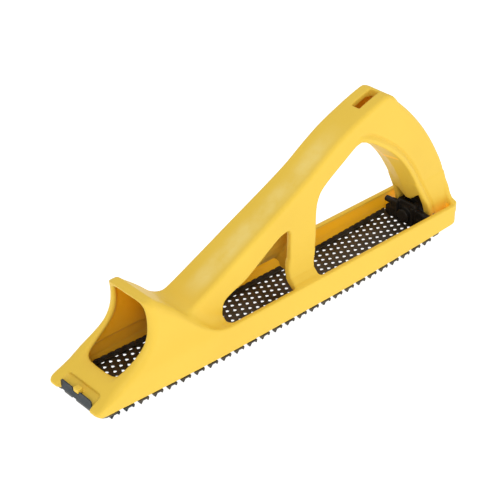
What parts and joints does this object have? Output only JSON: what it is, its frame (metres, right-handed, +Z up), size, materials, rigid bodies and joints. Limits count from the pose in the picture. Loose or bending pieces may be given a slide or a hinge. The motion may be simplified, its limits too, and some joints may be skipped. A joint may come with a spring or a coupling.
{
  "type": "wood rasp",
  "caption": "Wood rasp: a perforated toothed steel blade held under a one-piece moulded body with a finger pocket, an arched handle and a tension screw in the heel",
  "frame": {"origin": "middle of the bounding box, on the plane of the lowest tooth tips", "axes": "+X from the nose to the heel with the tension screw, +Z up from the sole to the handle, +Y completes a right-handed frame"},
  "size_m": [0.2746, 0.043, 0.1036],
  "materials": {
    "body": "satin moulded",
    "blade": "blued, hardened",
    "clamp": "fine grain",
    "screw": "blued",
    "washer": "zinc plated",
    "nut": "zinc plated"
  },
  "bodies": {
    "body": {"body": "body"},
    "blade": {"blade": "blade"},
    "clamp": {"blade_clamp": "clamp", "tension_nut": "nut"},
    "screw": {"tension_screw": "screw", "screw_washer": "washer"}
  },
  "joints": [
    {"name": "screw_turn", "type": "hinge", "parent": "body", "child": "screw", "pos_m": [0.13025, 0, 0.01216], "axis": [1, 0, 0], "range_deg": [0, 1800]},
    {"name": "clamp_travel", "type": "slide", "parent": "body", "child": "clamp", "axis": [1, 0, 0], "range_m": [-0.004, 0]},
    {"name": "blade_release", "type": "slide", "parent": "body", "child": "blade", "axis": [0, 0, -1], "range_m": [0, 0.03]}
  ],
  "couplings": [
    {"joint": "clamp_travel", "follows": "screw_turn", "m_per_rad": -0.00012732}
  ]
}
